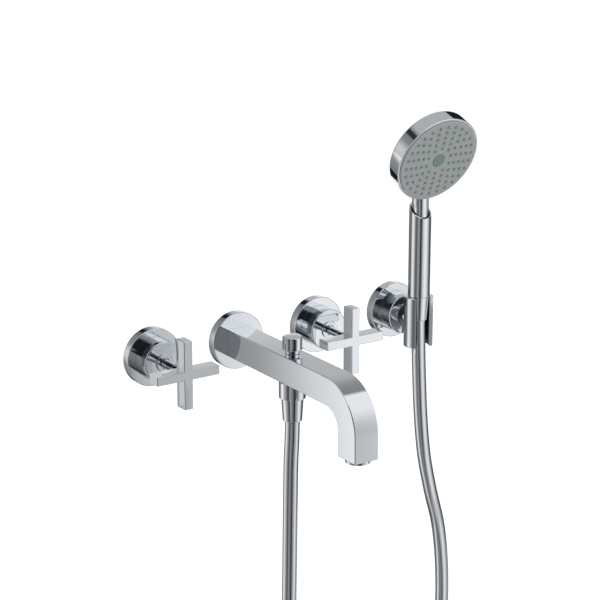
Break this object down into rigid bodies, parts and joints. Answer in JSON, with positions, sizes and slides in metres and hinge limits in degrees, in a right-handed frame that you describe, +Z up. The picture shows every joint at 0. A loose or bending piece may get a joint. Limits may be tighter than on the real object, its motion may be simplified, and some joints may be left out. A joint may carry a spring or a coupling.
{
  "type": "wall mounted bath faucet",
  "caption": "Wall mounted bath faucet in chrome, with cross handles, a square curved spout with a pull-up diverter, and a hand shower on a hose in a wall holder.",
  "frame": {"origin": "centre of the spout flange, on the wall face", "axes": "+X along the wall to the right as seen from the room, +Y into the wall, +Z up"},
  "size_m": [0.3913, 0.2566, 0.8209],
  "materials": {
    "chrome": "polished chrome plate",
    "hose_chrome": "spiral-wound chromed metal sleeve",
    "brass": "machined, unplated",
    "steel": "plain stainless",
    "rubber": "moulded black seal rubber",
    "foam": "closed-cell foam",
    "ceramic": null,
    "white_plastic": "moulded",
    "grey_plastic": "moulded, satin",
    "grey_rubber": "moulded silicone"
  },
  "bodies": {
    "root": {"hot_wall_flange": "chrome", "hot_sleeve": "chrome", "hot_clamp_ring": "chrome", "hot_wall_seal": "foam", "hot_valve_body": "brass", "hot_fixed_disc": "ceramic", "hot_seat_seal": "rubber", "cold_wall_flange": "chrome", "cold_sleeve": "chrome", "cold_clamp_ring": "chrome", "cold_wall_seal": "foam", "cold_valve_body": "brass", "cold_fixed_disc": "ceramic", "cold_seat_seal": "rubber", "spout_wall_flange": "chrome", "spout_body": "chrome", "aerator_housing": "chrome", "diverter_bush": "chrome", "shower_outlet": "chrome", "hose_nut": "chrome", "spout_wall_seal": "foam", "spout_nipple": "brass", "diverter_partition": "brass", "hose_nut_tail": "brass", "spout_nipple_oring": "rubber", "aerator_seal": "rubber", "outlet_washer": "rubber", "spout_screw": "steel", "aerator_insert": "white_plastic", "check_valve": "white_plastic", "shower_hose": "hose_chrome", "holder_wall_flange": "chrome", "holder_sleeve": "chrome", "holder_arm": "chrome", "holder_wall_seal": "foam", "holder_stud": "brass", "holder_grub_screw": "steel"},
    "hot_handle": {"hot_cross_handle": "chrome", "hot_spindle": "brass", "hot_spindle_oring": "rubber", "hot_moving_disc": "ceramic", "hot_handle_screw": "steel"},
    "cold_handle": {"cold_cross_handle": "chrome", "cold_spindle": "brass", "cold_spindle_oring": "rubber", "cold_moving_disc": "ceramic", "cold_handle_screw": "steel"},
    "diverter_valve": {"diverter_knob": "chrome", "diverter_rod": "brass", "diverter_disc": "rubber"},
    "hose_end": {"hose_cone_tail": "brass"},
    "hand_shower": {"hose_cone": "chrome", "cone_washer": "rubber", "shower_grip": "chrome", "shower_head_shell": "chrome", "spray_plate": "grey_plastic", "nozzle_mat": "grey_rubber", "head_screw": "steel", "head_cap": "grey_plastic"}
  },
  "joints": [
    {"name": "hot_handle_turn", "type": "hinge", "parent": "root", "child": "hot_handle", "pos_m": [-0.099, -0.07, 0], "axis": [0, -1, 0], "range_deg": [0, 90]},
    {"name": "cold_handle_turn", "type": "hinge", "parent": "root", "child": "cold_handle", "pos_m": [0.099, -0.07, 0], "axis": [0, 1, 0], "range_deg": [0, 90]},
    {"name": "diverter_lift", "type": "slide", "parent": "root", "child": "diverter_valve", "axis": [0, 0, 1], "range_m": [0, 0.0066]},
    {"name": "hand_shower_lift", "type": "slide", "parent": "root", "child": "hose_end", "axis": [0, 0, 1], "range_m": [0, 0.06]},
    {"name": "hand_shower_swivel", "type": "hinge", "parent": "hose_end", "child": "hand_shower", "pos_m": [0.198, -0.0525, 0], "axis": [0, 0, 1], "continuous": true}
  ]
}
